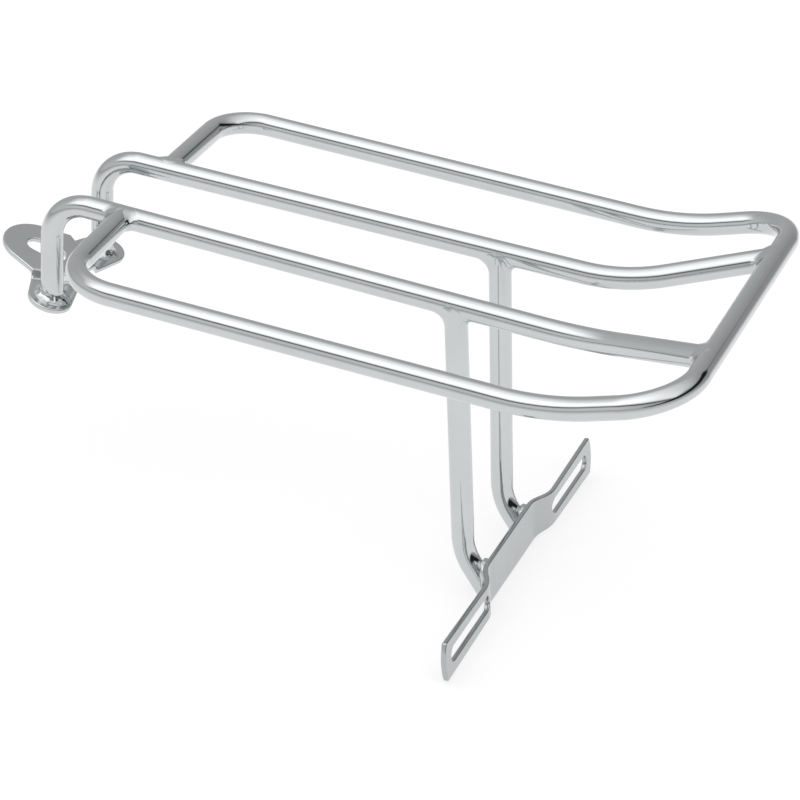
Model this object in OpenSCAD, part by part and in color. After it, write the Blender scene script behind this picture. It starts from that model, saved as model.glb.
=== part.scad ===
// Welded luggage rack of bent round tube, with a slotted plate at each end.
// X runs rearward, +Y is the right-hand side, +Z is up.
// Origin: on the centre plane, over the front tubes of the hoop, level with the top of the deck tubes.

/* [Tube] */
// outside diameter of every tube
tube_d = 12.7; // [11:0.1:14]
// wall thickness of every tube
tube_wall = 1.65; // [1.2:0.05:2.2]

/* [Deck] */
// distance between the centre lines of the two side rails
rail_spacing = 236; // [210:1:260]
// length of the flat part of the rails, to the start of the raised rear end
flat_length = 277; // [250:1:300]
// slope length of the raised rear end
kick_length = 72; // [68:1:80]
// angle of the raised rear end
kick_angle = 18.5; // [15:0.5:21]
// bend radius where the rails start to rise
rail_kick_r = 155; // [120:5:160]
// centre-line bend radius of the rear corners
rear_corner_r = 33; // [28:1:36]
// centre-line bend radius of the right front corner
front_corner_r = 26; // [22:1:30]
// centre-line bend radius of the left front corner
left_corner_r = 30; // [24:1:32]
// how far the left front corner sits behind the right one
left_corner_setback = 7; // [0:0.5:8]
// how far the left front tube's welded end sits behind the right one's
left_end_setback = 3.3; // [0:0.1:5]

/* [Deck bars] */
// distance between the two bars' centre lines at the front
bar_front_spacing = 64; // [58:1:70]
// distance between the two bars' centre lines where they start to rise
bar_rear_spacing = 73; // [70:1:80]
// distance between the two bars' centre lines at the rear rail
bar_end_spacing = 127; // [115:1:135]
// how far the bars reach in front of the hoop before they turn down
bar_overhang = 40.5; // [36:0.5:50]
// centre-line bend radius where the bars turn down
bar_drop_r = 22; // [18:1:26]
// rearward lean of the front uprights
drop_lean = 2.3; // [0:0.1:4]
// bend radius where the bars start to rise and spread
bar_kick_r = 106; // [80:2:110]

/* [Rear stays] */
// distance from the hoop's front tubes to the top of the stays
stay_x = 199; // [185:1:215]
// rearward lean of the stays
stay_lean = 7.2; // [5:0.1:9]
// height of the start of the stays' lower bend, below the deck tubes' centre lines
stay_bend_drop = 141; // [135:1:142]
// centre-line radius of the stays' lower bend
stay_bend_r = 34; // [30:1:36]
// angle of the stays' lower ends, from straight down
stay_end_angle = 39; // [36:1:44]

/* [Front plate] */
// thickness of both plates
plate_t = 3; // [2.5:0.1:3.5]
// height of the ears' top faces below the deck tubes' centre lines, at the uprights
front_drop = 60.2; // [56:0.2:66]
// upward tilt of the front plate, towards the front
front_tilt = 14.4; // [8:0.2:18]
// radius of the round ears under the uprights
ear_r = 12.8; // [12:0.1:15]
// distance between the ears' centres
ear_spacing = 68; // [64:0.5:72]
// distance from the ears to the centre of the tongue's round tip
tongue_reach = 27.1; // [24:0.1:32]
// radius of the tongue's round tip
tongue_r = 20.4; // [18:0.1:22]
// flare of the tongue's sides towards the ears
tongue_flare = 17.8; // [14:0.2:20]
// height of the tongue above the ears
tongue_step = 4.2; // [3.2:0.1:5]
// width of the tongue's slot
front_slot_w = 12; // [9:0.5:14]
// length of the tongue's slot, end to end
front_slot_l = 24; // [18:0.5:26]

/* [Rear plate] */
// distance from the hoop's front tubes to the front face of the rear plate
rear_plate_x = 234; // [233:0.5:238]
// height of the rear plate's middle below the deck tubes' centre lines
rear_plate_drop = 164; // [162:0.5:166]
// forward lean of the rear plate's top edge
rear_tilt = 8.6; // [5:0.2:11]
// overall length of the rear plate
rear_plate_l = 249; // [238:1:256]
// height of the rear plate's middle
rear_plate_h = 24.5; // [23:0.5:28]
// height of the arms where they leave the middle
arm_root_h = 20.8; // [19:0.2:23]
// height of the arms near their ends
arm_tip_h = 23.6; // [21:0.2:26]
// how far the arms are set back from the middle
arm_offset = 6.3; // [4:0.1:8]
// width of the arms' slots
rear_slot_w = 9.2; // [7:0.1:10]
// length of the arms' slots, end to end
rear_slot_l = 61; // [50:0.5:62]
// distance between the centres of the two slots
rear_slot_spacing = 170; // [168:0.5:173]

/* [Hidden] */
$fn = 96;
eps = 0.01;
gap = 0.03;                                 // the bends' wall is this much thicker on each side
lap = 0.3;
ro = tube_d/2;
ri = ro - tube_wall;
z0 = -ro;                                   // height of the deck tubes' centre lines
yr = rail_spacing/2;
xe = flat_length + kick_length*cos(kick_angle);   // rear rail
ze = z0 + kick_length*sin(kick_angle);
ybf = bar_front_spacing/2;
ybr = bar_rear_spacing/2;
ybe = bar_end_spacing/2;
xbk = flat_length - 7;                      // where the bars start to rise
xd = -bar_overhang;
ft = front_tilt;
// foot of the front uprights, on the ears' top faces
xfoot = xd + front_drop*tan(drop_lean);
zfoot = z0 - front_drop;

function unit(v) = v/norm(v);
function tl(P, R, i) = R[i]*tan(acos(unit(P[i]-P[i-1])*unit(P[i+1]-P[i]))/2);   // tangent length at a bend
function sp(P, R, i) = i == 0 ? P[0] : P[i] + unit(P[i+1]-P[i])*tl(P, R, i);     // start of a straight
function ep(P, R, i) = i+1 == len(P)-1 ? P[i+1] : P[i+1] - unit(P[i+1]-P[i])*tl(P, R, i+1);

// rod from a to b
module rod(a, b, r) {
  d = b - a;
  translate(a) rotate([0, acos(d[2]/norm(d)), atan2(d[1], d[0])]) cylinder(h = norm(d), r = r);
}
// one bend of a ring or disc, at corner i of the path
module bend(P, R, i, r, rin) {
  u = unit(P[i]-P[i-1]);
  v = unit(P[i+1]-P[i]);
  a = acos(u*v);
  n = unit(v - (u*v)*u);
  s = P[i] - u*tl(P, R, i);
  c = s + n*R[i];
  w = cross(u, n);
  multmatrix([[-n[0], u[0], w[0], c[0]], [-n[1], u[1], w[1], c[1]], [-n[2], u[2], w[2], c[2]], [0, 0, 0, 1]])
    rotate_extrude(angle = a) translate([R[i], 0]) difference() {
      circle(r = r);
      if (rin > 0) circle(r = rin);
    }
}
module pipe(a, b) {
  d = b - a;
  translate(a) rotate([0, acos(d[2]/norm(d)), atan2(d[1], d[0])]) difference() {
    cylinder(h = norm(d), r = ro);
    translate([0, 0, -1]) cylinder(h = norm(d) + 2, r = ri);
  }
}
// tube along a path, bent at each inner corner; each straight runs a little way into the wall of the bends
module tube(P, R) {
  for (i = [0 : len(P)-2]) {
    u = unit(P[i+1] - P[i]);
    pipe(sp(P, R, i) - (i > 0 ? lap : 0)*u, ep(P, R, i) + (i < len(P)-2 ? lap : 0)*u);
  }
  for (i = [1 : len(P)-2]) bend(P, R, i, ro + gap, ri - gap);
}
// flared collar round a branch whose axis runs from o along d
module collar(o, d, h, f) {
  u = unit(d);
  translate(o) rotate([0, acos(u[2]), atan2(u[1], u[0])]) rotate_extrude() difference() {
    square([ro + f, h]);
    translate([ro + f + 0.6, h]) circle(r = f);
    translate([ro + f + 0.6 - eps, 0.6]) square([f, h]);
  }
}

// paths of the centre lines
back = 1.5;                                 // a tube's end stops this far short of the centre line that it meets
bar_q = function(s) [[xfoot, s*ybf, zfoot - 8], [xd, s*ybf, z0], [xbk, s*ybr, z0], [xe, s*ybe, ze]];
bar_p = function(s) [bar_q(s)[0], bar_q(s)[1], bar_q(s)[2], bar_q(s)[3] - back*unit(bar_q(s)[3] - bar_q(s)[2])];
bar_y = function(x) ybf + (ybr - ybf)*(x - xd)/(xbk - xd);
bar_rr = [0, bar_drop_r, bar_kick_r, 0];
hoop_p = [[left_end_setback, -bar_y(left_end_setback) - back, z0], [left_corner_setback, -yr, z0], [flat_length, -yr, z0], [xe, -yr, ze],
  [xe, yr, ze], [flat_length, yr, z0], [0, yr, z0], [0, bar_y(0) + back, z0]];
hoop_rr = [0, left_corner_r, rail_kick_r, rear_corner_r, rear_corner_r, rail_kick_r, front_corner_r, 0];
stay_y = ybf + (ybr - ybf)*(stay_x - xd)/(xbk - xd);
stay_in = 3.2;                              // how far the stays close in towards the foot
foot_rise = 0.8;                            // how far the stays' trimmed ends are above the plate's lower edge
sk = stay_bend_drop;
stay_bx = stay_x + sk*tan(stay_lean);       // start of the lower bend
// corner of the lower bend, and its far end well past the plate
st = stay_bend_r*tan((stay_end_angle - stay_lean)/2);
stay_c = function(s) [stay_bx + st*sin(stay_lean), s*(stay_y - stay_in), z0 - sk - st*cos(stay_lean)];
stay_p = function(s) [[stay_x, s*stay_y, z0] + back*unit(stay_c(s) - [stay_x, s*stay_y, z0]), stay_c(s), stay_c(s) + 46*[sin(stay_end_angle), 0, -cos(stay_end_angle)]];

// solid core of one straight, for fitting other ends against it
module bar_core(s) rod([-30, s*(ybf + (ybr-ybf)*(-30-xd)/(xbk-xd)), z0], [250, s*(ybf + (ybr-ybf)*(250-xd)/(xbk-xd)), z0], ro);
module rear_core() rod([xe, -100, ze], [xe, 100, ze], ro);
module bar_end_core(s) rod(bar_p(s)[2] + 0.45*(bar_p(s)[3] - bar_p(s)[2]), bar_p(s)[3], ro);
module drop_core(s) rod(bar_p(s)[0], [xd + 22*tan(drop_lean), s*ybf, z0 - 22], ro);
module hoop_end_core(s) rod(s < 0 ? hoop_p[0] : hoop_p[7], s < 0 ? hoop_p[0] + 0.6*(hoop_p[1]-hoop_p[0]) : hoop_p[7] + 0.6*(hoop_p[6]-hoop_p[7]), ro);
module stay_core(s) rod(stay_p(s)[0], stay_p(s)[0] + 0.7*(stay_p(s)[1] - stay_p(s)[0]), ro);
module stay_end_core(s) rod(stay_c(s) + st*[sin(stay_end_angle), 0, -cos(stay_end_angle)], stay_p(s)[2], ro);

module deck_hoop() color([0.77, 0.78, 0.79]) difference() {
  tube(hoop_p, hoop_rr);
  bar_core(-1);
  bar_core(1);
}
module deck_bar(s) color([0.77, 0.78, 0.79]) difference() {
  tube(bar_p(s), bar_rr);
  rear_core();
  on_front() translate([-60, -80, -40]) cube([120, 160, 40]);
}
module left_deck_bar() deck_bar(-1);
module right_deck_bar() deck_bar(1);

module rear_stay(s) color([0.77, 0.78, 0.79]) difference() {
  tube(stay_p(s), [0, stay_bend_r, 0]);
  bar_core(s);
  on_rear() translate([0, -60, -60]) cube([60, 120, 120]);
  // trimmed just above the plate's lower edge
  on_rear() translate([-60, -60, -60 - rear_plate_h/2 + foot_rise]) cube([61, 120, 60]);
}
module left_rear_stay() rear_stay(-1);
module right_rear_stay() rear_stay(1);

// frame of the front plate: x rearward along the plate, z out of its top, z = 0 at the ears' top faces
module on_front() translate([xfoot, 0, zfoot]) rotate([0, ft, 0]) children();
es = ear_spacing/2;
al = tongue_flare;
step_a = 34;                                // direction of the step's fold lines
step_w = 2.6;                               // run of the step
fo = [-17.6, -24.2];                        // a point on the left upper fold line
ef = 18.7;                                  // sweep of the ears' front edges
er = 14.6;                                  // sweep of the ears' rear edges
// outline: tongue tip, flared sides, then arms to the two ears
function side_q(p) = tongue_r/cos(al) + (p + tongue_reach)*tan(al);    // tongue's side at p
fe = [-ear_r*cos(ef), es + ear_r*sin(ef)];  // where the front edge meets the ear
re = [ear_r*cos(er), es - ear_r*sin(er)];
ft_q = 23.4;
front_c = fe + [-(fe[1]-ft_q)*tan(ef), -(fe[1]-ft_q)];
rear_c = re[0] - re[1]*tan(er);
module front_outline(h) {
  translate([-tongue_reach, 0, 0]) cylinder(h = h, r = tongue_r);
  for (s = [-1, 1]) translate([0, s*es, 0]) cylinder(h = h, r = ear_r);
  linear_extrude(height = h) polygon([
    [-tongue_reach - tongue_r*sin(al), -tongue_r*cos(al)], [-21, -side_q(-21)],
    [front_c[0] - 1.0, -front_c[1] - 0.6], [front_c[0] + 1.2, -front_c[1] - 3.2], [fe[0], -fe[1]], [0, -es], [re[0], -re[1]], [rear_c + 1.3, -5], [rear_c + 0.5, 0],
    [rear_c + 1.3, 5], [re[0], re[1]], [0, es], [fe[0], fe[1]], [front_c[0] + 1.2, front_c[1] + 3.2], [front_c[0] - 1.0, front_c[1] + 0.6],
    [-21, side_q(-21)], [-tongue_reach - tongue_r*sin(al), tongue_r*cos(al)]]);
}
// the stepped sheet of one side, s = -1 left: tongue level, ramp, ear level
module front_sheet(s) {
  a = step_a;
  k = [cos(a), -s*sin(a)];                  // along the fold line
  n = [sin(a), s*cos(a)];                   // outwards across it
  f = [fo[0], -s*fo[1]];
  g = f + step_w*n;
  m = fo[0] - fo[1]*cos(a)/sin(a);          // the fold line meets the centre plane here
  mg = m + step_w/sin(a);
  translate([0, 0, tongue_step - plate_t]) linear_extrude(height = plate_t)
    polygon([[m, 0], f - 60*k, [-110, (f - 60*k)[1]], [-110, 0]]);
  translate([0, 0, -plate_t]) linear_extrude(height = plate_t)
    polygon([[mg, 0], g - 60*k, [g[0] - 60*k[0], s*90], [60, s*90], [60, 0]]);
  // ramp, let into both sheets by a hair
  h = 0.03;
  intersection() {
    multmatrix([[n[0], k[0], 0, f[0]], [n[1], k[1], 0, f[1]], [0, 0, 1, 0], [0, 0, 0, 1]])
      translate([0, 60, 0]) rotate([90, 0, 0]) linear_extrude(height = 120)
        polygon([[-0.8, tongue_step - plate_t + h], [-0.8, tongue_step - h], [0.4, tongue_step - h], [step_w + 0.4, -h],
          [step_w + 0.8, -h], [step_w + 0.8, h - plate_t], [step_w - 0.4, h - plate_t], [-0.4, tongue_step - plate_t + h]]);
    translate([-110, s < 0 ? -90 : 0, -20]) cube([200, 90, 40]);
  }
}
module front_mount_plate() color([0.72, 0.73, 0.74]) on_front() difference() {
  intersection() {
    translate([0, 0, -10]) front_outline(20);
    union() {
      front_sheet(-1);
      front_sheet(1);
    }
  }
  // slot
  for (p = [-tongue_reach - 0.3, -tongue_reach - 0.3 + front_slot_l - front_slot_w]) translate([p, 0, -20]) cylinder(h = 40, r = front_slot_w/2);
  translate([-tongue_reach - 0.3, -front_slot_w/2, -20]) cube([front_slot_l - front_slot_w, front_slot_w, 40]);
}

// frame of the rear plate: x out of its rear face, y along it, z up its face, x = 0 at the middle's front face
module on_rear() translate([rear_plate_x, 0, z0 - rear_plate_drop]) rotate([0, -rear_tilt, 0]) children();
ra = 41; rb = 53;                           // corners of the set-back bends
rp = [[arm_offset, -140, 0], [arm_offset, -rb, 0], [0, -ra, 0], [0, ra, 0], [arm_offset, rb, 0], [arm_offset, 140, 0]];
rrr = [0, 22.5, 22.5, 22.5, 22.5, 0];
module strip_bar(a, b) {
  d = b - a;
  translate(a) rotate([0, 0, atan2(d[1], d[0])]) translate([0, -plate_t, -20]) cube([norm(d), plate_t, 40]);
}
// a bend of the strip; the path runs along its front face
module strip_bend(P, R, i) {
  u = unit(P[i]-P[i-1]);
  v = unit(P[i+1]-P[i]);
  a = acos(u*v);
  n = unit(v - (u*v)*u);
  s = P[i] - u*tl(P, R, i);
  c = s + n*R[i];
  w = cross(u, n);
  // the sheet lies on the rear side of the path
  o = n[0] > 0 ? -plate_t : 0;
  multmatrix([[-n[0], u[0], w[0], c[0]], [-n[1], u[1], w[1], c[1]], [-n[2], u[2], w[2], c[2]], [0, 0, 0, 1]])
    rotate_extrude(angle = a) translate([R[i] + o - gap, -20]) square([plate_t + 2*gap, 40]);
}
module rear_outline() {
  hm = rear_plate_h/2; h1 = arm_root_h/2; h2 = arm_tip_h/2; e = rear_plate_l/2;
  translate([-10, 0, 0]) rotate([90, 0, 90]) linear_extrude(height = 40)
    polygon([[-e-2, -h2], [-58, -h1], [-36, -hm], [36, -hm], [58, -h1], [e+2, -h2], [e+2, h2], [58, h1], [36, hm], [-36, hm], [-58, h1], [-e-2, h2]]);
}
module rear_mount_plate() color([0.72, 0.73, 0.74]) on_rear() difference() {
  intersection() {
    union() {
      for (i = [0 : 4]) strip_bar(sp(rp, rrr, i) - (i > 0 ? lap : 0)*unit(rp[i+1] - rp[i]), ep(rp, rrr, i) + (i < 4 ? lap : 0)*unit(rp[i+1] - rp[i]));
      for (i = [1 : 4]) strip_bend(rp, rrr, i);
    }
    rear_outline();
    // rounded ends
    translate([-10, 0, 0]) rotate([0, 90, 0]) linear_extrude(height = 40) union() {
      square([60, 2*(rear_plate_l/2 - 27)], center = true);
      for (s = [-1, 1]) translate([0, s*(rear_plate_l/2 - 27)]) circle(r = 27);
    }
  }
  for (s = [-1, 1]) translate([-10, s*rear_slot_spacing/2, 0]) {
    for (t = [-1, 1]) translate([0, t*(rear_slot_l - rear_slot_w)/2, 0]) rotate([0, 90, 0]) cylinder(h = 40, r = rear_slot_w/2);
    translate([0, -(rear_slot_l - rear_slot_w)/2, -rear_slot_w/2]) cube([40, rear_slot_l - rear_slot_w, rear_slot_w]);
  }
}

// weld fillets
wf = 5;                                     // reach of the fillets
module hoop_weld(s) color([0.8, 0.81, 0.82]) difference() {
  P0 = s < 0 ? hoop_p[0] : hoop_p[7];
  P1 = s < 0 ? hoop_p[1] : hoop_p[6];
  intersection() {
    collar(P0, P1 - P0, ro + wf, wf);
    translate([-60, -200, z0 - ro - 0.3]) cube([120, 400, tube_d + 0.6]);
  }
  bar_core(s);
  hoop_end_core(s);
}
module left_hoop_weld() hoop_weld(-1);
module right_hoop_weld() hoop_weld(1);

module rail_weld(s) color([0.8, 0.81, 0.82]) difference() {
  P0 = bar_p(s)[3];
  P1 = bar_p(s)[2];
  intersection() {
    collar(P0, P1 - P0, ro + wf, wf);
    translate([xe, 0, ze]) rotate([0, -kick_angle, 0]) translate([-60, -200, -ro - 0.3]) cube([59.5, 400, tube_d + 0.6]);
  }
  rear_core();
  bar_end_core(s);
}
module left_rail_weld() rail_weld(-1);
module right_rail_weld() rail_weld(1);

module stay_top_weld(s) color([0.8, 0.81, 0.82]) difference() {
  P0 = stay_p(s)[0];
  intersection() {
    collar(P0, stay_p(s)[1] - P0, ro + wf + 1, wf + 1);
    translate([stay_x - 60, s*stay_y - ro - 0.3, z0 - 60]) cube([120, tube_d + 0.6, 60]);
  }
  bar_core(s);
  stay_core(s);
}
module left_stay_top_weld() stay_top_weld(-1);
module right_stay_top_weld() stay_top_weld(1);

// where a stay's centre line meets the rear plate
module stay_foot_weld(s) color([0.8, 0.81, 0.82]) {
  e = [sin(stay_end_angle), 0, -cos(stay_end_angle)];
  n = [cos(rear_tilt), 0, sin(rear_tilt)];
  c = stay_c(s);
  p0 = [rear_plate_x, 0, z0 - rear_plate_drop];
  hit = c + e*(((p0 - c)*n)/(e*n));
  difference() {
    translate(hit) rotate([0, -rear_tilt, 0]) rotate([0, -90, 0]) translate([6, 0, 0]) cylinder(h = 8, r1 = 11.4, r2 = 5);
    stay_end_core(s);
    translate(hit) rotate([0, -rear_tilt, 0]) translate([-60, -30, -70]) cube([120, 60, 64]);
  }
}
module left_stay_foot_weld() stay_foot_weld(-1);
module right_stay_foot_weld() stay_foot_weld(1);

module ear_weld(s) color([0.8, 0.81, 0.82]) difference() {
  translate([xfoot, s*ybf, zfoot]) rotate([0, ft, 0]) cylinder(h = 5, r1 = 10.6, r2 = ro + 0.3);
  drop_core(s);
}
module left_ear_weld() ear_weld(-1);
module right_ear_weld() ear_weld(1);

deck_hoop();
left_deck_bar();
right_deck_bar();
left_rear_stay();
right_rear_stay();
front_mount_plate();
rear_mount_plate();
left_hoop_weld();
right_hoop_weld();
left_rail_weld();
right_rail_weld();
left_stay_top_weld();
right_stay_top_weld();
left_stay_foot_weld();
right_stay_foot_weld();
left_ear_weld();
right_ear_weld();
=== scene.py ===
import math

import bmesh
import bpy
import numpy as np
from mathutils import Matrix, Vector
from mathutils.geometry import delaunay_2d_cdt


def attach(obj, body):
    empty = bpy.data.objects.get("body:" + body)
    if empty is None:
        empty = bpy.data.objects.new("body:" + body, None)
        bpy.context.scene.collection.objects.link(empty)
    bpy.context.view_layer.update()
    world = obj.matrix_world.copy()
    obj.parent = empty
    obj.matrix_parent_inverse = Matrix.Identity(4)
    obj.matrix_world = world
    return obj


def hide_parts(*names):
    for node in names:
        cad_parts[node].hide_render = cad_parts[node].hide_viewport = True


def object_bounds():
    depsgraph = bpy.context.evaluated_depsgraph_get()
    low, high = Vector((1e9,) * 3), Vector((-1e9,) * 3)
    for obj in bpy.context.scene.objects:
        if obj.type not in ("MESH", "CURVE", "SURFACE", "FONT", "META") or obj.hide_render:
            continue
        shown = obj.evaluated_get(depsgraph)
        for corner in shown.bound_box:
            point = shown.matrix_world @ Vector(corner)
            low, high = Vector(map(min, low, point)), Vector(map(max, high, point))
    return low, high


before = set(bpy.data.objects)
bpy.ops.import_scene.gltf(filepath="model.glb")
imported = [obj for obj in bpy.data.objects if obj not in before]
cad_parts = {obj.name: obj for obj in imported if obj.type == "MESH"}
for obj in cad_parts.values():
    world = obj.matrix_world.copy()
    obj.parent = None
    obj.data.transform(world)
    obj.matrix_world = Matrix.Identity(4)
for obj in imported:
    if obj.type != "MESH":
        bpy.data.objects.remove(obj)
cad_lo, cad_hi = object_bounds()

# ---------------------------------------------------------------- dimensions, in mm, the same as the CAD part's
RO = 6.35
Z0 = -RO
RAIL, FLAT, KICK, KANG, RKICK = 236.0, 277.0, 72.0, 18.5, 155.0
R_REAR, R_FRONT, R_LEFT, LEFT_BACK, LEFT_END = 33.0, 26.0, 30.0, 7.0, 3.3
YBF, YBR, YBE, OVER, R_DROP, LEAN, R_BKICK = 32.0, 36.5, 63.5, 40.5, 22.0, 2.3, 106.0
STAY_X, STAY_LEAN, STAY_DROP, R_STAY, STAY_END, STAY_IN = 199.0, 7.2, 141.0, 34.0, 39.0, 3.2
T = 3.0
FDROP, FTILT, EAR_R, EAR_S, REACH, TONG_R, FLARE, STEP = 60.2, 14.4, 12.8, 68.0, 27.1, 20.4, 17.8, 4.2
SLOT_W, SLOT_L = 12.0, 24.0
RP_X, RP_DROP, RTILT, RP_L, RP_H, ARM0, ARM1, ARM_OFF = 234.0, 164.0, 8.6, 249.0, 24.5, 20.8, 23.6, 6.3
RS_W, RS_L, RS_S = 9.2, 61.0, 170.0


def rad(a):
    return math.radians(a)


YR = RAIL / 2
XE = FLAT + KICK * math.cos(rad(KANG))
ZE = Z0 + KICK * math.sin(rad(KANG))
XBK = FLAT - 7
XD = -OVER
XFOOT = XD + FDROP * math.tan(rad(LEAN))
ZFOOT = Z0 - FDROP


def V(*a):
    return np.array(a, float)


def unit(v):
    v = np.asarray(v, float)
    return v / np.linalg.norm(v)


def bar_y(x):
    return YBF + (YBR - YBF) * (x - XD) / (XBK - XD)


def bar_path(s):
    return [V(XFOOT, s * YBF, ZFOOT - 0.6), V(XD, s * YBF, Z0), V(XBK, s * YBR, Z0), V(XE, s * YBE, ZE)]


BAR_R = [0, R_DROP, R_BKICK, 0]
HOOP_P = [
    V(LEFT_END, -bar_y(LEFT_END), Z0), V(LEFT_BACK, -YR, Z0), V(FLAT, -YR, Z0), V(XE, -YR, ZE),
    V(XE, YR, ZE), V(FLAT, YR, Z0), V(0, YR, Z0), V(0, bar_y(0), Z0),
]
HOOP_R = [0, R_LEFT, RKICK, R_REAR, R_REAR, RKICK, R_FRONT, 0]
STAY_Y = YBF + (YBR - YBF) * (STAY_X - XD) / (XBK - XD)
SBX = STAY_X + STAY_DROP * math.tan(rad(STAY_LEAN))
ST = R_STAY * math.tan(rad(STAY_END - STAY_LEAN) / 2)
EDIR = V(math.sin(rad(STAY_END)), 0, -math.cos(rad(STAY_END)))


def stay_corner(s):
    return V(SBX + ST * math.sin(rad(STAY_LEAN)), s * (STAY_Y - STAY_IN), Z0 - STAY_DROP - ST * math.cos(rad(STAY_LEAN)))


def stay_path(s):
    c = stay_corner(s)
    n = V(math.cos(rad(RTILT)), 0, math.sin(rad(RTILT)))
    return [V(STAY_X, s * STAY_Y, Z0), c, c + EDIR * (((V(RP_X, 0, Z0 - RP_DROP) - c) @ n) / (EDIR @ n))]


# frames of the two plates: place(local point) in mm
def rot_y(a):
    c, s = math.cos(rad(a)), math.sin(rad(a))
    return np.array([[c, 0, s], [0, 1, 0], [-s, 0, c]])


M_FRONT, O_FRONT = rot_y(FTILT), V(XFOOT, 0, ZFOOT)
M_REAR, O_REAR = rot_y(-RTILT), V(RP_X, 0, Z0 - RP_DROP)
N_REAR = M_REAR @ V(1, 0, 0)
N_FRONT = M_FRONT @ V(0, 0, 1)
# the stays' ends are trimmed here, just above the rear plate's lower edge
TRIM_N = M_REAR @ V(0, 0, -1)
TRIM_P = O_REAR + M_REAR @ V(0, 0, -RP_H / 2 + 0.8)


# ---------------------------------------------------------------- mesh helpers
def finish_mesh(name, verts, faces, sharp_angle=None, mats=()):
    """An object from points in mm; normals out, doubles merged, smooth."""
    bm = bmesh.new()
    vs = [bm.verts.new(tuple(float(c) / 1000 for c in v)) for v in verts]
    for f in faces:
        g = []
        for i in f:
            if not g or vs[i] is not g[-1]:
                g.append(vs[i])
        if g[0] is g[-1]:
            g.pop()
        if len(set(g)) >= 3:
            try:
                bm.faces.new(g)
            except ValueError:
                pass
    bmesh.ops.remove_doubles(bm, verts=bm.verts, dist=2e-7)
    bmesh.ops.dissolve_degenerate(bm, edges=bm.edges, dist=1e-8)
    loose = [v for v in bm.verts if not v.link_faces]
    bmesh.ops.delete(bm, geom=loose, context="VERTS")
    bmesh.ops.recalc_face_normals(bm, faces=bm.faces)
    for f in bm.faces:
        f.smooth = True
    if sharp_angle:
        for e in bm.edges:
            if len(e.link_faces) == 2 and e.calc_face_angle(0) > rad(sharp_angle):
                e.smooth = False
    me = bpy.data.meshes.new(name)
    bm.to_mesh(me)
    bm.free()
    ob = bpy.data.objects.new(name, me)
    bpy.context.scene.collection.objects.link(ob)
    for m in mats:
        me.materials.append(m)
    return ob


def centre_line(P, R, step=1.6):
    """Points, tangents, and at each point the bend's inward direction and how far into a bend it is."""
    pts, tans, inw, amount = [], [], [], []
    n = len(P)
    t_len = [0.0] * n
    for i in range(1, n - 1):
        u, v = unit(P[i] - P[i - 1]), unit(P[i + 1] - P[i])
        t_len[i] = R[i] * math.tan(math.acos(max(-1, min(1, float(u @ v)))) / 2)
    for i in range(n - 1):
        u = unit(P[i + 1] - P[i])
        a, b = P[i] + u * t_len[i], P[i + 1] - u * t_len[i + 1]
        k = max(2, int(np.linalg.norm(b - a) / 14) + 1)
        ts = list(np.linspace(0, 1, k))
        if i == 0:
            ts = [t for t in ts if t == 0 or t * np.linalg.norm(b - a) > 12.5]
        if i == n - 2:
            ts = [t for t in ts if t == 1 or (1 - t) * np.linalg.norm(b - a) > 12.5]
        if i > 0:
            ts.insert(1, 2.5 / np.linalg.norm(b - a))
        if i < n - 2:
            ts.insert(len(ts) - 1, 1 - 2.5 / np.linalg.norm(b - a))
        for t in sorted(ts):
            pts.append(a + (b - a) * t)
            tans.append(u)
            inw.append(None)
            amount.append(0.0)
        if i < n - 2:
            v = unit(P[i + 2] - P[i + 1])
            ang = math.acos(max(-1, min(1, float(u @ v))))
            side = unit(v - (u @ v) * u)
            c = b + side * R[i + 1]
            m = max(4, int(math.degrees(ang) / step))
            for j in range(1, m):
                f = ang * j / m
                pts.append(c - side * R[i + 1] * math.cos(f) + u * R[i + 1] * math.sin(f))
                tans.append(u * math.cos(f) + side * math.sin(f))
                inw.append(side * math.cos(f) - u * math.sin(f))
                e = min(j, m - j) / m * math.degrees(ang) / 9
                amount.append(min(1.0, e) ** 2 * (3 - 2 * min(1.0, e)) * min(1.0, 34.0 / R[i + 1]))
    return pts, tans, inw, amount


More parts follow.
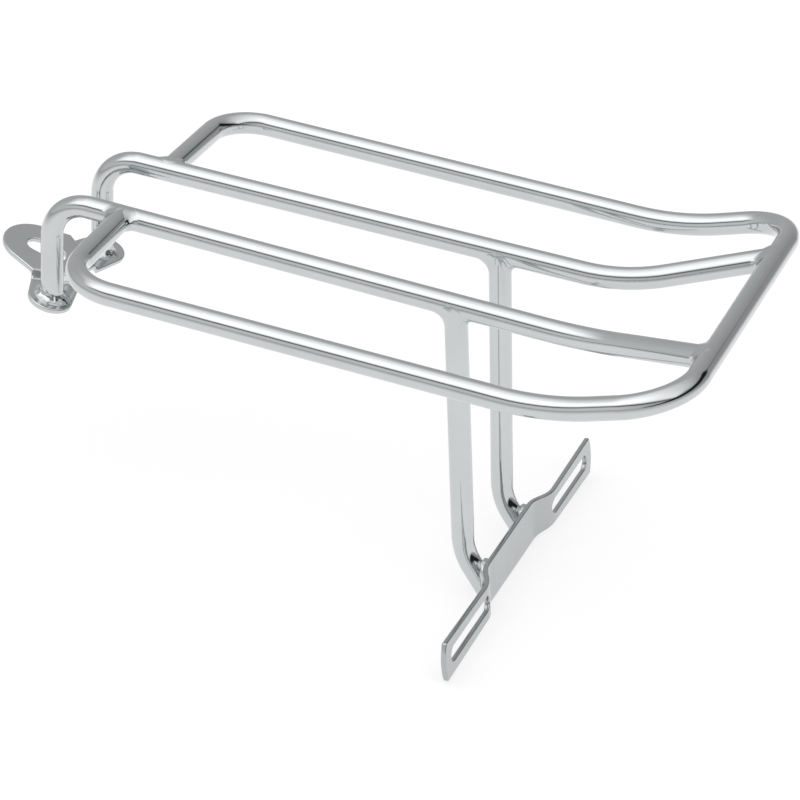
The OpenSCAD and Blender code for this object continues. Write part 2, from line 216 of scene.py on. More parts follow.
def sweep(name, P, R, mats, start=None, end=None, seg=72, oval=0.03, bore=False):
    """A closed tube round the path. start and end move the last ring's points along the tube to fit what they meet."""
    pts, tans, inw, amount = centre_line(P, R)
    rings = []
    t = tans[0]
    a = unit(np.cross(t, V(0.3, 0.2, 1) if abs(t[2]) < 0.9 else V(1, 0, 0)))
    for p, q, w, k in zip(pts, tans, inw, amount):
        a = unit(a - (a @ q) * q)
        b = np.cross(q, a)
        ring = []
        for j in range(seg):
            f = 2 * math.pi * j / seg
            d = a * math.cos(f) + b * math.sin(f)
            if k > 0:
                along = float(d @ w)
                d = d + w * along * (-oval * k) + (d - w * along) * (0.45 * oval * k)
            ring.append(p + RO * d)
        rings.append(ring)
    caps = []
    for where, fit, sign in ((0, start, -1), (-1, end, 1)):
        q = tans[where] * sign
        rings[where] = [fit(x, q) for x in rings[where]]
        caps.append(fit(pts[where], q))
    verts = [x for r in rings for x in r]
    faces = []
    for i in range(len(rings) - 1):
        for j in range(seg):
            k = (j + 1) % seg
            faces.append([i * seg + j, i * seg + k, (i + 1) * seg + k, (i + 1) * seg + j])
    # each end: a short inner ring, then a closing point, all inside what the tube meets; bore leaves the far end open
    for n, (where, c) in enumerate(((0, caps[0]), (len(rings) - 1, caps[1]))):
        inner = [c + (x - c) * 0.5 for x in rings[where]]
        if bore and n == 1:
            q = tans[-1]
            mouth = [end(pts[-1] + (x - pts[-1] - ((x - pts[-1]) @ q) * q) * ((RO - 1.65) / RO), q) for x in rings[-1]]
            at = len(verts)
            verts += mouth
            for j in range(seg):
                k = (j + 1) % seg
                faces.append([where * seg + j, where * seg + k, at + k, at + j])
            deep = [pts[-1] - 14 * q + (x - pts[-1] - ((x - pts[-1]) @ q) * q) for x in mouth]
            at2 = len(verts)
            verts += deep
            verts.append(pts[-1] - 14 * q)
            for j in range(seg):
                k = (j + 1) % seg
                faces.append([at + j, at + k, at2 + k, at2 + j])
                faces.append([at2 + j, at2 + k, at2 + seg])
            continue
        at = len(verts)
        verts += inner
        verts.append(c)
        for j in range(seg):
            k = (j + 1) % seg
            faces.append([where * seg + j, where * seg + k, at + k, at + j])
            faces.append([at + j, at + k, at + seg])
    return finish_mesh(name, verts, faces, 40, mats)


def to_cylinder(A, w, r):
    """Moves a point along q until it is r from the line through A along w."""
    w = unit(w)

    def fit(x, q):
        d0 = (x - A) - ((x - A) @ w) * w
        qq = q - (q @ w) * w
        a, b, c = qq @ qq, 2 * d0 @ qq, d0 @ d0 - r * r
        disc = b * b - 4 * a * c
        t = -b / (2 * a) if disc < 0 else (-b - math.sqrt(disc)) / (2 * a)
        return x + t * q

    return fit


def to_plane(A, n):
    n = unit(n)

    def fit(x, q):
        return x + q * (((A - x) @ n) / (q @ n))

    return fit


def nearer(*fits):
    """The first of several fits that a point reaches along q."""
    def fit(x, q):
        return min((f(x, q) for f in fits), key=lambda p: (p - x) @ q)

    return fit


def lumps(seed):
    """A smooth deterministic function of angle and height, about -1 to 1."""
    r = np.random.RandomState(seed)
    terms = [(r.randint(2, 6), r.uniform(0, 6.28), r.uniform(0.5, 1.5), r.uniform(0, 6.28), 0.5) for _ in range(3)]
    terms += [(r.randint(7, 15), r.uniform(0, 6.28), r.uniform(1, 3), r.uniform(0, 6.28), 0.28) for _ in range(4)]

    def f(phi, t):
        return sum(a * math.sin(k * phi + p) * math.cos(m * t * 3.1 + o) for k, p, m, o, a in terms) / 1.6

    return f


def fillet(name, O, d, main, leg_b, leg_m, mats, seed, lift=0.5, bumps=0.3, ref=None, lean=0.0, limit=None, crown=None, arc=None, N=144, K=14):
    """A weld fillet round a branch tube: O on the branch's axis, d along it away from what it meets.
    main is ("line", A, w) for a tube or ("plane", A, n) for a face."""
    d = unit(d)
    e1 = unit(ref - (ref @ d) * d) if ref is not None else unit(np.cross(d, V(0.31, 0.77, 0.4)))
    e2 = np.cross(d, e1)
    phis = [2 * math.pi * j / N for j in range(N)]
    nb = np.array([e1 * math.cos(f) + e2 * math.sin(f) for f in phis])
    if main[0] == "line":
        A, w = main[1], unit(main[2])
        fit = to_cylinder(A, w, RO)
        seam = np.array([fit(O + RO * n + 80 * d, -d) for n in nb])

        def normal(x):
            r = (x - A) - ((x - A) @ w) * w
            return unit(r)

        def project(x):
            r = (x - A) - ((x - A) @ w) * w
            return A + ((x - A) @ w) * w + RO * unit(r)
    else:
        A, n0 = main[1], unit(main[2])
        fit = to_plane(A, n0)
        seam = np.array([fit(O + RO * n + 80 * d, -d) for n in nb])

        def normal(x):
            return n0

        def project(x):
            return x - ((x - A) @ n0) * n0

    def smooth(a, sigma):
        k = np.arange(N)
        k = np.minimum(k, N - k)
        g = np.exp(-0.5 * (k / sigma) ** 2)
        g /= g.sum()
        return np.real(np.fft.ifft(np.fft.fft(a, axis=0) * np.fft.fft(g)[:, None], axis=0))

    nm = np.array([normal(x) for x in seam])
    tau = np.roll(seam, -1, 0) - np.roll(seam, 1, 0)
    m = np.cross(tau, nm)
    m *= np.sign((m * nb).sum(1) + 1e-9)[:, None] if main[0] == "plane" else 1
    if main[0] == "line":
        # away from the branch: outward where the faces meet at an angle, across the crest where they are flush
        flip = np.sign((m * (nb - 0.6 * d)).sum(1) + 1e-9)
        m *= flip[:, None]
    m /= np.linalg.norm(m, axis=1)[:, None] + 1e-9
    m = smooth(m, N * 0.018)
    m /= np.linalg.norm(m, axis=1)[:, None] + 1e-9
    opening = np.clip(1 - (nm * nb).sum(1), 0, 2)          # 1 at a right angle, 0 where flush
    size = 0.62 + 0.38 * np.clip(opening, 0, 1)
    wob = lumps(seed)
    verts, faces = [], []
    for j in range(N):
        f = phis[j]
        k = size[j] * (1 + 0.10 * wob(f, 0.3)) * (1 + lean * math.cos(f))
        lb, lm = leg_b * k, leg_m * size[j] * (1 + 0.10 * wob(f + 1.7, 0.6)) * (1 + lean * math.cos(f))
        I = seam[j]
        a = I + lb * d
        b = project(I + lm * m[j])
        if limit is not None:
            a, b = limit(a), limit(b)
        nmb = normal(b)
        mid = unit(nb[j] + normal(I))
        c = I + lift * mid * (0.5 + 0.9 * (1 - min(1, opening[j])))
        if crown is not None:
            c = c + mid * crown(f)
        for i in range(K + 1):
            t = i / K
            x = (1 - t) ** 2 * a + 2 * t * (1 - t) * c + t * t * b
            up = unit(nb[j] * (1 - t) + nmb * t)
            h = bumps * wob(f, t) * math.sin(math.pi * t) ** 1.5 + 0.16 * math.sin(math.pi * t)
            edge = 0.16 * (math.exp(-((t / 0.05) ** 2)) + math.exp(-(((1 - t) / 0.05) ** 2)))
            verts.append(x + up * (h - edge))
        # hidden back, inside both walls
        verts.append(b - 0.8 * nmb)
        verts.append(I - 0.9 * mid)
        verts.append(a - 0.8 * nb[j])
    S = K + 4
    if arc is not None:
        # only the part of the ring within arc of the reference direction, its ends drawn in and closed
        keep = [j for j in range(N) if abs(((phis[j] - arc[0] + math.pi) % (2 * math.pi)) - math.pi) <= arc[1]]
        keep.sort(key=lambda j: ((phis[j] - arc[0] + math.pi) % (2 * math.pi)))
        V2 = []
        for n, j in enumerate(keep):
            e_ = min(n, len(keep) - 1 - n) / 14
            w_ = min(1.0, e_) ** 0.5
            hub = seam[j] - 0.9 * unit(nb[j] + nm[j])
            V2 += [hub + (x - hub) * max(w_, 0.05) for x in verts[j * S:(j + 1) * S]]
        verts = V2
        M = len(keep)
        for j in range(M - 1):
            for i in range(S):
                k = (i + 1) % S
                faces.append([j * S + i, j * S + k, (j + 1) * S + k, (j + 1) * S + i])
        faces.append(list(range(S)))
        faces.append([(M - 1) * S + i for i in range(S)][::-1])
        return finish_mesh(name, verts, faces, 50, mats)
    for j in range(N):
        q = (j + 1) % N
        for i in range(S):
            k = (i + 1) % S
            faces.append([j * S + i, j * S + k, q * S + k, q * S + i])
    return finish_mesh(name, verts, faces, 50, mats)


def loop_normals(L):
    L = np.array(L, float)
    e = np.roll(L, -1, 0) - L
    e /= np.linalg.norm(e, axis=1)[:, None]
    n = np.stack([e[:, 1], -e[:, 0]], 1)          # outward for a counter-clockwise loop
    v = n + np.roll(n, 1, 0)
    v /= np.linalg.norm(v, axis=1)[:, None]
    c = (v * n).sum(1)
    return v / np.maximum(c, 0.3)[:, None]


def inside(p, L):
    x, y = p
    c = False
    for i in range(len(L)):
        (x1, y1), (x2, y2) = L[i - 1], L[i]
        if (y1 > y) != (y2 > y) and x < (x2 - x1) * (y - y1) / (y2 - y1) + x1:
            c = not c
    return c


def area(L):
    return 0.5 * sum(L[i - 1][0] * L[i][1] - L[i][0] * L[i - 1][1] for i in range(len(L)))


def resample(L, step):
    """Points along a closed loop, keeping its corners."""
    out = []
    for i in range(len(L)):
        a, b = np.array(L[i], float), np.array(L[(i + 1) % len(L)], float)
        k = max(1, int(math.ceil(np.linalg.norm(b - a) / step)))
        out += [tuple(a + (b - a) * j / k) for j in range(k)]
    return out


def round_corners(L, radii, step=8):
    """Rounds each corner of a closed polygon with its own radius."""
    out, n = [], len(L)
    for i in range(n):
        p0, p, p1 = (np.array(L[(i + k) % n], float) for k in (-1, 0, 1))
        u, v = unit(p - p0), unit(p1 - p)
        ang = math.acos(max(-1, min(1, float(u @ v))))
        r = radii[i]
        if r <= 0 or ang < 1e-3:
            out.append(tuple(p))
            continue
        t = min(r * math.tan(ang / 2), 0.49 * np.linalg.norm(p - p0), 0.49 * np.linalg.norm(p1 - p))
        r = t / math.tan(ang / 2)
        side = unit(v - (u @ v) * u)
        c = p - u * t + side * r
        m = max(2, int(math.degrees(ang) / step) + 1)
        for j in range(m + 1):
            f = ang * j / m
            out.append(tuple(c - side * r * math.cos(f) + u * r * math.sin(f)))
    return out


def sheet_mesh(name, outer, holes, t, er, place, mats, grid=1.6):
    """A flat or bent sheet with rounded edges. place(u, v, w) gives the point, with w from 0 to t through the sheet."""
    if area(outer) < 0:
        outer = outer[::-1]
    holes = [h if area(h) > 0 else h[::-1] for h in holes]
    sup = 0.3
    prof = [(er + sup, t), (er, t)]
    prof += [(er * (1 - math.sin(rad(a))), t - er * (1 - math.cos(rad(a)))) for a in (15, 30, 45, 60, 75, 90)]
    prof += [(0, t / 2)]
    prof += [(er * (1 - math.sin(rad(a))), er * (1 - math.cos(rad(a)))) for a in (90, 75, 60, 45, 30, 15)]
    prof += [(er, 0), (er + sup, 0)]
    verts, faces = [], []
    inner_loops = []
    for L, sign in [(outer, 1)] + [(h, -1) for h in holes]:
        L2, n = np.array(L, float), loop_normals(L)
        base, m = len(verts), len(L)
        for inset, w in prof:
            ring = L2 - sign * inset * n
            verts += [place(u, v, w) for u, v in ring]
        for i in range(len(prof) - 1):
            for j in range(m):
                k = (j + 1) % m
                faces.append([base + i * m + j, base + i * m + k, base + (i + 1) * m + k, base + (i + 1) * m + j])
        inner_loops.append([tuple(x) for x in (L2 - sign * (er + sup) * n)])
    pts, edges = [], []
    for L in inner_loops:
        b = len(pts)
        pts += [Vector(p) for p in L]
        edges += [(b + i, b + (i + 1) % len(L)) for i in range(len(L))]
    lo, hi = np.min(inner_loops[0], 0), np.max(inner_loops[0], 0)
    bounds_pts = np.array([p for L in inner_loops for p in L])
    row = 0
    v = lo[1] + grid / 2
    while v < hi[1]:
        u = lo[0] + (grid / 2 if row % 2 else 0)
        while u < hi[0]:
            if inside((u, v), inner_loops[0]) and not any(inside((u, v), h) for h in inner_loops[1:]):
                if np.min(np.hypot(*(bounds_pts - (u, v)).T)) > grid * 0.45:
                    pts.append(Vector((u, v)))
            u += grid
        v += grid * 0.87
        row += 1
    vo, _, fo, *_ = delaunay_2d_cdt(pts, edges, [], 1, 1e-6)
    keep = []
    for f in fo:
        c = sum((vo[i] for i in f), Vector((0, 0))) / len(f)
        if inside(c, inner_loops[0]) and not any(inside(c, h) for h in inner_loops[1:]):
            keep.append(list(f))
    for w in (t, 0):
        base = len(verts)
        verts += [place(p[0], p[1], w) for p in vo]
        faces += [[base + i for i in f] for f in keep]
    return finish_mesh(name, verts, faces, 50, mats)


# ---------------------------------------------------------------- materials
def chrome(name, colour, dark, rough, wave, peel, haze):
    """Bright plating: faint waviness, orange peel, fine roughness grain and hazy patches."""
    m = bpy.data.materials.new(name)
    m.use_nodes = True
    nt = m.node_tree
    nt.nodes.clear()
    out = nt.nodes.new("ShaderNodeOutputMaterial")
    bs = nt.nodes.new("ShaderNodeBsdfPrincipled")
    nt.links.new(bs.outputs[0], out.inputs[0])
    bs.inputs["Metallic"].default_value = 1.0
    co = nt.nodes.new("ShaderNodeTexCoord")

    def noise(scale, detail, rough_, dist=0.0):
        n = nt.nodes.new("ShaderNodeTexNoise")
        n.inputs["Scale"].default_value = scale
        n.inputs["Detail"].default_value = detail
        n.inputs["Roughness"].default_value = rough_
        n.inputs["Distortion"].default_value = dist
        nt.links.new(co.outputs["Object"], n.inputs["Vector"])
        return n

    def mrange(src, a, b, c, d):
        r = nt.nodes.new("ShaderNodeMapRange")
        for k, val in zip(("From Min", "From Max", "To Min", "To Max"), (a, b, c, d)):
            r.inputs[k].default_value = val
        nt.links.new(src, r.inputs["Value"])
        return r.outputs["Result"]

    cloud = noise(26, 4, 0.55, 0.4)          # 40 mm patches
    fine = noise(900, 3, 0.6)                # about 1 mm
    mix = nt.nodes.new("ShaderNodeMix")
    mix.data_type = "RGBA"
    nt.links.new(mrange(cloud.outputs["Fac"], 0.35, 0.7, 0.0, 1.0), mix.inputs["Factor"])
    mix.inputs[6].default_value = (*colour, 1)
    mix.inputs[7].default_value = (*dark, 1)
    nt.links.new(mix.outputs[2], bs.inputs["Base Color"])

    a = mrange(cloud.outputs["Fac"], 0.3, 0.75, rough, rough + haze)
    b = mrange(fine.outputs["Fac"], 0.3, 0.8, -0.012, 0.03)
    add = nt.nodes.new("ShaderNodeMath")
    add.operation = "ADD"
    add.use_clamp = True
    nt.links.new(a, add.inputs[0])
    nt.links.new(b, add.inputs[1])
    nt.links.new(add.outputs[0], bs.inputs["Roughness"])

    slow = noise(70, 2, 0.5)                 # waviness of the polished steel, about 15 mm
    peel_n = noise(420, 3, 0.55)             # orange peel, 2 to 3 mm
    b1 = nt.nodes.new("ShaderNodeBump")
    b1.inputs["Strength"].default_value = 1.0
    b1.inputs["Distance"].default_value = wave
    nt.links.new(slow.outputs["Fac"], b1.inputs["Height"])
    b2 = nt.nodes.new("ShaderNodeBump")
    b2.inputs["Strength"].default_value = 1.0
    b2.inputs["Distance"].default_value = peel
    nt.links.new(peel_n.outputs["Fac"], b2.inputs["Height"])
    nt.links.new(b1.outputs["Normal"], b2.inputs["Normal"])
    nt.links.new(b2.outputs["Normal"], bs.inputs["Normal"])
    return m


TUBE = chrome("tube_chrome", (0.592, 0.612, 0.618), (0.560, 0.582, 0.590), 0.055, 0.00005, 0.000006, 0.03)
PLATE = chrome("plate_chrome", (0.580, 0.598, 0.604), (0.550, 0.570, 0.578), 0.10, 0.00016, 0.000016, 0.06)
# the rear plate's chrome: a copy of the plate chrome with a higher roughness and its base colour lowered, which is
# painted shade
PLATE_PAINTED_SHADE = chrome("rear_plate_chrome_painted_shade", (0.470, 0.488, 0.494), (0.440, 0.460, 0.468), 0.14, 0.00016, 0.000016, 0.06)
WELD = chrome("weld_chrome", (0.600, 0.620, 0.626), (0.560, 0.580, 0.588), 0.07, 0.00030, 0.00003, 0.05)

# ---------------------------------------------------------------- pieces
IN = 0.7            # how far a tube's fitted end goes into the wall that it meets
pieces = []


def add(ob, node, slot):
    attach(ob, "root")
    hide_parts(node)
    pieces.append(ob)
    return ob


def bar_line(s):
    return bar_path(s)[1], bar_path(s)[2] - bar_path(s)[1]


rear_line = (V(XE, 0, ZE), V(0, 1, 0))
hoop = sweep("deck_hoop_tube", HOOP_P, HOOP_R, [TUBE], to_cylinder(*bar_line(-1), RO - IN), to_cylinder(*bar_line(1), RO - IN))
add(hoop, "deck_hoop", "tube_chrome")

for s, side in ((-1, "left"), (1, "right")):
    P = bar_path(s)
    bar = sweep(f"{side}_deck_bar_tube", P, BAR_R, [TUBE], to_plane(O_FRONT - IN * N_FRONT, N_FRONT), to_cylinder(*rear_line, RO - IN))
    add(bar, f"{side}_deck_bar", "tube_chrome")
    Q = stay_path(s)
    stay = sweep(f"{side}_rear_stay_tube", Q, [0, R_STAY, 0], [TUBE], to_cylinder(*bar_line(s), RO - IN),
                 nearer(to_plane(O_REAR + IN * N_REAR, N_REAR), to_plane(TRIM_P, TRIM_N)), bore=True)
    add(stay, f"{side}_rear_stay", "tube_chrome")

    H0, H1 = (HOOP_P[0], HOOP_P[1]) if s < 0 else (HOOP_P[7], HOOP_P[6])
    w = fillet(f"{side}_hoop_weld_fillet", H0, H1 - H0, ("line", *bar_line(s)), 6.2, 5.8, [WELD], 11 + s, ref=V(1, 0, 0))
    add(w, f"{side}_hoop_weld", "weld_chrome")
    w = fillet(f"{side}_rail_weld_fillet", P[3], P[2] - P[3], ("line", *rear_line), 6.0, 5.6, [WELD], 21 + s, ref=V(0, 0, 1))
    add(w, f"{side}_rail_weld", "weld_chrome")
    w = fillet(f"{side}_stay_top_weld_fillet", Q[0], Q[1] - Q[0], ("line", *bar_line(s)), 6.8, 6.4, [WELD], 31 + s, ref=V(-1, 0, 0), lean=0.2)
    add(w, f"{side}_stay_top_weld", "weld_chrome")

    c = stay_corner(s)
    hit = to_plane(O_REAR, N_REAR)(c, EDIR)

    def keep_on_plate(x, hit=hit):
        l = M_REAR.T @ (x - O_REAR)
        l[2] = min(l[2], RP_H / 2 - 1.0)
        return O_REAR + M_REAR @ l

    w = fillet(f"{side}_stay_foot_weld_fillet", hit, -EDIR, ("plane", O_REAR, -N_REAR), 5.2, 5.0, [WELD], 41 + s, lift=1.0, bumps=0.5,
               ref=V(-1, 0, 0), lean=-0.36, limit=keep_on_plate, crown=lambda f: 8.0 * ((1 - math.cos(f)) / 2) ** 6, arc=(math.pi, rad(112)))
    add(w, f"{side}_stay_foot_weld", "weld_chrome")
    w = fillet(f"{side}_ear_weld_fillet", V(XFOOT, s * YBF, ZFOOT), P[1] - P[0], ("plane", O_FRONT, N_FRONT), 4.6, 4.4, [WELD], 51 + s, lift=0.9,
               bumps=0.4, ref=V(-1, 0, 0))
    add(w, f"{side}_ear_weld", "weld_chrome")


# front plate: tongue, flared sides and two ears, stepped along two slanting folds
def front_side():
    es, al = EAR_S / 2, rad(FLARE)
    ef, er = rad(18.7), rad(14.6)
    fe = V(-EAR_R * math.cos(ef), es + EAR_R * math.sin(ef))
    re = V(EAR_R * math.cos(er), es - EAR_R * math.sin(er))
    fc = fe + V(-(fe[1] - 23.4) * math.tan(ef), -(fe[1] - 23.4))
    rc = re[0] - re[1] * math.tan(er)
    sq = TONG_R / math.cos(al) + (-21 + REACH) * math.tan(al)
    pts, radii = [], []
    # from the centre of the tongue's tip round to the centre of the rear edge, on the +q side
    a0 = math.pi
    a1 = math.pi / 2 + al
    for j in range(25):
        f = a0 + (a1 - a0) * j / 24
        pts.append((-REACH + TONG_R * math.cos(f), TONG_R * math.sin(f)))
        radii.append(0)
    pts.append((-21.0, sq)); radii.append(0)
    pts.append((fc[0] + 0.1, fc[1] + 1.6)); radii.append(5)
    pts.append(tuple(fe)); radii.append(0)
    f0 = math.atan2(fe[1] - es, fe[0])
    f1 = math.atan2(re[1] - es, re[0])
    if f0 < 0:
        f0 += 2 * math.pi
    for j in range(1, 40):
        f = f0 + (f1 - f0) * j / 40
        pts.append((EAR_R * math.cos(f), es + EAR_R * math.sin(f)))
        radii.append(0)
    pts.append(tuple(re)); radii.append(0)
    pts.append((rc + 1.3, 4.0)); radii.append(16)
    return pts, radii


pts, radii = front_side()
mirror = [(p, -q) for p, q in reversed(pts[1:])]
outline = round_corners(pts + mirror, radii + list(reversed(radii[1:])))
outline = resample(outline, 1.2)


def slot_loop(cu, cv, length, width, along_u=True, n=20):
    r, h = width / 2, (length - width) / 2
    L = []
    for sgn in (1, -1):
        for j in range(n + 1):
            f = -math.pi / 2 + math.pi * j / n
            a, b = sgn * (h + r * math.cos(f)), sgn * r * math.sin(f)
            L.append((cu + a, cv + b) if along_u else (cu - b, cv + a))
    return L


SA, SW, FO = rad(34), 2.6, (-17.6, 24.2)


def step_height(u, v):
    d = (u - FO[0]) * math.sin(SA) + (abs(v) - FO[1]) * math.cos(SA)
    x = (d + 0.9) / (SW + 1.8)
    x = min(1.0, max(0.0, x))
    return STEP * (1 - x * x * (3 - 2 * x))


def place_front(u, v, w):
    return O_FRONT + M_FRONT @ V(u, v, step_height(u, v) + w - T)


c0 = -REACH - 0.3
front = sheet_mesh("front_mount_plate_sheet", outline, [resample(slot_loop(c0 + (SLOT_L - SLOT_W) / 2, 0, SLOT_L, SLOT_W), 1.0)], T, 0.8, place_front, [PLATE], 1.3)
add(front, "front_mount_plate", "plate_chrome")

# rear plate: a bent strip, set back at both arms
RP = [(ARM_OFF, -140.0), (ARM_OFF, -53.0), (0.0, -41.0), (0.0, 41.0), (ARM_OFF, 53.0), (ARM_OFF, 140.0)]
path = np.array(round_corners(RP + [(60.0, 140.0), (60.0, -140.0)], [0, 22.5, 22.5, 22.5, 22.5, 0, 0, 0], 1.5)[:-2])
order = np.argsort(path[:, 1])
py, px = path[order, 1], path[order, 0]
fine_y = np.linspace(-139, 139, 1400)
fine_x = np.interp(fine_y, py, px)
k = np.exp(-0.5 * (np.arange(-12, 13) / 5) ** 2)
fine_x = np.convolve(np.pad(fine_x, 12, mode="edge"), k / k.sum(), mode="valid")
fine_s = np.gradient(fine_x, fine_y)


def place_rear(u, v, w):
    x, sl = np.interp(u, fine_y, fine_x), np.interp(u, fine_y, fine_s)
    n = unit(V(1, -sl, 0))
    return O_REAR + M_REAR @ (V(x, u, v) + n * w)


hm, h1, h2, e = RP_H / 2, ARM0 / 2, ARM1 / 2, RP_L / 2
RE = 27.0


def h_at(y):
    return h1 + (h2 - h1) * (y - 58) / (e + 2 - 58)


half = [(0.0, hm), (-36.0, hm), (-58.0, h1)]
yc = e - RE + math.sqrt(RE ** 2 - h_at(e - 2.6) ** 2)
half += [(-yc, h_at(yc))]
arc0 = math.asin(h_at(yc) / RE)
arc = [(-(e - RE + RE * math.cos(f)), RE * math.sin(f)) for f in np.linspace(arc0, -arc0, 13)[1:-1]]
bottom = [(-yc, -h_at(yc)), (-58.0, -h1), (-36.0, -hm), (0.0, -hm)]
left = half + arc + bottom
lr = [0, 45, 45, 3.2] + [0] * len(arc) + [3.2, 45, 45, 0]
right = [(-y, -z) for y, z in left[1:-1]]
full = left + right
fr = lr + lr[1:-1]
full = resample(round_corners(full, fr, 6), 1.8)
slots = [resample(slot_loop(s * RS_S / 2, 0, RS_L, RS_W), 1.4) for s in (-1, 1)]
rear = sheet_mesh("rear_mount_plate_sheet", full, slots, T, 0.8, place_rear, [PLATE_PAINTED_SHADE], 2.0)
add(rear, "rear_mount_plate", "plate_chrome")

# ---------------------------------------------------------------- studio
scene = bpy.context.scene
scene.view_settings.view_transform = "Standard"
scene.view_settings.look = "None"

floor_z = min(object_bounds()[0][2], cad_lo[2]) - 0.0005
N = 96
rings = [0.0, 0.3, 0.6, 1.0, 1.6, 2.5, 4.0, 7.0, 12.0, 20.0]
fv = [(0.15, 0, floor_z)]
ff = []
for r in rings[1:]:
    fv += [(0.15 + r * math.cos(2 * math.pi * j / N), r * math.sin(2 * math.pi * j / N), floor_z) for j in range(N)]
for j in range(N):
    ff.append([0, 1 + j, 1 + (j + 1) % N])
for i in range(len(rings) - 2):
    for j in range(N):
        q = (j + 1) % N
        ff.append([1 + i * N + j, 1 + (i + 1) * N + j, 1 + (i + 1) * N + q, 1 + i * N + q])
fm = bpy.data.meshes.new("floor")
fm.from_pydata(fv, [], ff)
floor = bpy.data.objects.new("floor", fm)
scene.collection.objects.link(floor)
def stops(node, pairs):
    els = node.color_ramp.elements
    while len(els) > 1:
        els.remove(els[-1])
    for n, (pos, val) in enumerate(pairs):
        el = els[0] if n == 0 else els.new(pos)
        el.position = pos
        el.color = (val, val, val, 1)


# painted light: the floor's emission glows brightest within about 0.75 m of a point near the object and fades to dim
# grey by 3 m. It stands in for lamp light and washes out the object's shadows
fmat = bpy.data.materials.new("floor_painted_glow")
fmat.use_nodes = True
nt = fmat.node_tree
nt.nodes.clear()
out = nt.nodes.new("ShaderNodeOutputMaterial")
bs = nt.nodes.new("ShaderNodeBsdfPrincipled")
bs.inputs["Roughness"].default_value = 0.9
bs.inputs["Specular IOR Level"].default_value = 0.0
nt.links.new(bs.outputs[0], out.inputs[0])
co = nt.nodes.new("ShaderNodeTexCoord")
ln = nt.nodes.new("ShaderNodeVectorMath")
ln.operation = "DISTANCE"
ln.inputs[1].default_value = (0.10, 0.35, floor_z)
nt.links.new(co.outputs["Object"], ln.inputs[0])
ramp = nt.nodes.new("ShaderNodeValToRGB")
stops(ramp, [(0.0, 0.68), (0.075, 0.68), (0.10, 0.50), (0.135, 0.33), (0.195, 0.22), (0.30, 0.18)])
sc_ = nt.nodes.new("ShaderNodeMath")
sc_.operation = "DIVIDE"
sc_.inputs[1].default_value = 10.0
nt.links.new(ln.outputs["Value"], sc_.inputs[0])
nt.links.new(sc_.outputs[0], ramp.inputs[0])
bs.inputs["Base Color"].default_value = (0.38, 0.38, 0.38, 1)
nt.links.new(ramp.outputs[0], bs.inputs["Emission Color"])
bs.inputs["Emission Strength"].default_value = 1.0
fm.materials.append(fmat)

# the studio round the object, as brightness by direction
world = bpy.data.worlds.new("studio")
scene.world = world
world.use_nodes = True
nt = world.node_tree
nt.nodes.clear()
wout = nt.nodes.new("ShaderNodeOutputWorld")
bg = nt.nodes.new("ShaderNodeBackground")
nt.links.new(bg.outputs[0], wout.inputs[0])
co = nt.nodes.new("ShaderNodeTexCoord")
sep = nt.nodes.new("ShaderNodeSeparateXYZ")
nt.links.new(co.outputs["Generated"], sep.inputs[0])
X, Y, Z = sep.outputs[0], sep.outputs[1], sep.outputs[2]


def mth(op, a, b=None, clamp=False):
    n = nt.nodes.new("ShaderNodeMath")
    n.operation = op
    n.use_clamp = clamp
    for i, v in enumerate((a, b)):
        if v is None:
            continue
        if isinstance(v, (int, float)):
            n.inputs[i].default_value = v
        else:
            nt.links.new(v, n.inputs[i])
    return n.outputs[0]


def sstep(x, a, b, lo=0.0, hi=1.0):
    n = nt.nodes.new("ShaderNodeMapRange")
    n.interpolation_type = "SMOOTHSTEP"
    for k_, v in zip(("From Min", "From Max", "To Min", "To Max"), (a, b, lo, hi)):
        n.inputs[k_].default_value = v
    nt.links.new(x, n.inputs["Value"])
    return n.outputs["Result"]


zc = mth("MAXIMUM", Z, 0.02)
B_ = mth("DIVIDE", X, zc)
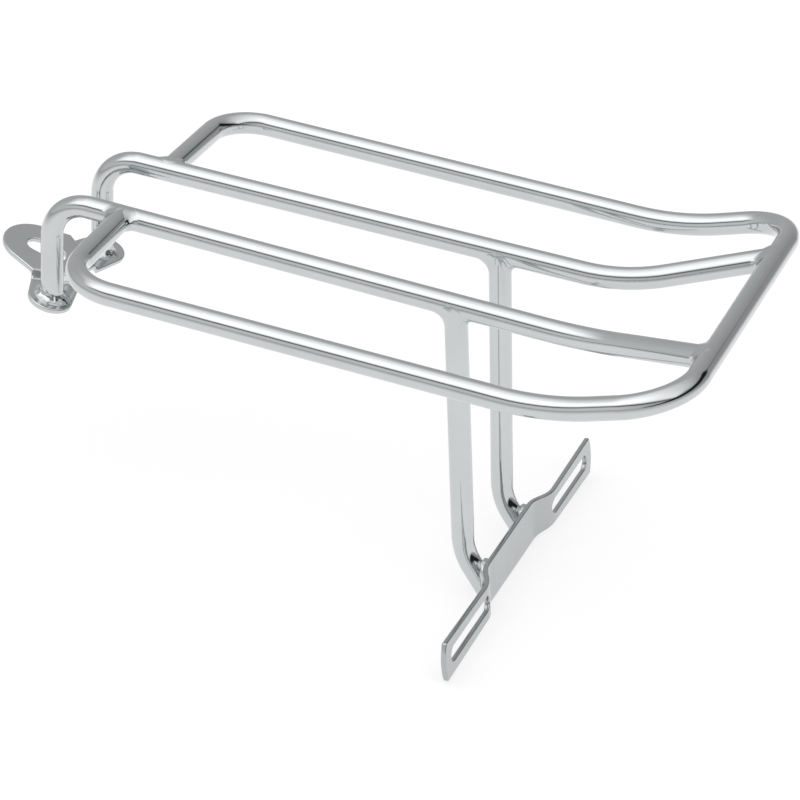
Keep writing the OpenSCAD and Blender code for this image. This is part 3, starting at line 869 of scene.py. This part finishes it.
# bands that run along X: the camera's side, a dark gap, the large soft box overhead, its long fade to the back wall
theta = mth("DIVIDE", mth("ARCTAN2", zc, mth("MULTIPLY", Y, -1.0)), math.pi)
band = nt.nodes.new("ShaderNodeValToRGB")
stops(band, [(t / 180, v) for t, v in (
    (0, 0.66), (8, 0.72), (14, 0.74), (21, 0.66), (26, 0.44), (29, 0.08), (32, 0.08), (35, 0.46), (40, 0.90), (45, 1.45), (51, 1.62),
    (70, 1.58), (76, 1.48), (86, 1.32), (97, 1.18), (108, 1.02), (121, 0.76), (128, 0.62), (134, 0.55), (149, 0.48), (165, 0.47), (180, 0.52))])
nt.links.new(theta, band.inputs[0])
A_ = mth("DIVIDE", Y, zc)
B_ = mth("DIVIDE", B_, mth("SUBTRACT", 1.0, mth("MULTIPLY", mth("MINIMUM", A_, 0.0), 0.8)))
width = mth("MULTIPLY", sstep(B_, -1.35, -0.30), sstep(B_, 1.0, 2.4, 1.0, 0.0))
side_wall = sstep(Y, -0.5, 0.5, 0.60, 0.47)
val = mth("ADD", mth("MULTIPLY", band.outputs[0], width), mth("MULTIPLY", side_wall, mth("SUBTRACT", 1.0, width)))
# a little darker towards +X
val = mth("MULTIPLY", val, sstep(X, -0.75, 0.75, 1.20, 0.80))
# a dark doorway, low on the +X side
low = mth("ABSOLUTE", mth("SUBTRACT", Z, mth("ADD", mth("MULTIPLY", Y, 0.30), 0.20)))
door = mth("MULTIPLY", sstep(X, 0.30, 0.48), sstep(low, 0.11, 0.19, 1.0, 0.0))
val = mth("MULTIPLY", val, mth("SUBTRACT", 1.0, mth("MULTIPLY", door, 0.96)))
comb = nt.nodes.new("ShaderNodeCombineColor")
for i in range(3):
    nt.links.new(val, comb.inputs[i])
nt.links.new(comb.outputs[0], bg.inputs["Color"])
bg.inputs["Strength"].default_value = 1.0

# camera at the photograph's angle
cam = bpy.data.cameras.new("camera")
cam.sensor_width = 36.0
cam.lens = 3144.4865 * 36.0 / 800
cam.shift_x = -0.5 / 800
cam.shift_y = 0.5 / 800
cam.clip_end = 100
cam.clip_start = 0.05
cob = bpy.data.objects.new("camera", cam)
scene.collection.objects.link(cob)
right_ = Vector((0.92941131, 0.35829609, 0.08842243))
down_ = Vector((0.25039506, -0.43622186, -0.86429902))
fwd_ = Vector((-0.27110317, 0.82542983, -0.49514510))
m = Matrix((right_, -down_, -fwd_)).transposed().to_4x4()
m.translation = Vector((0.636207, -1.443202, 0.772451))
cob.matrix_world = m
scene.camera = cob
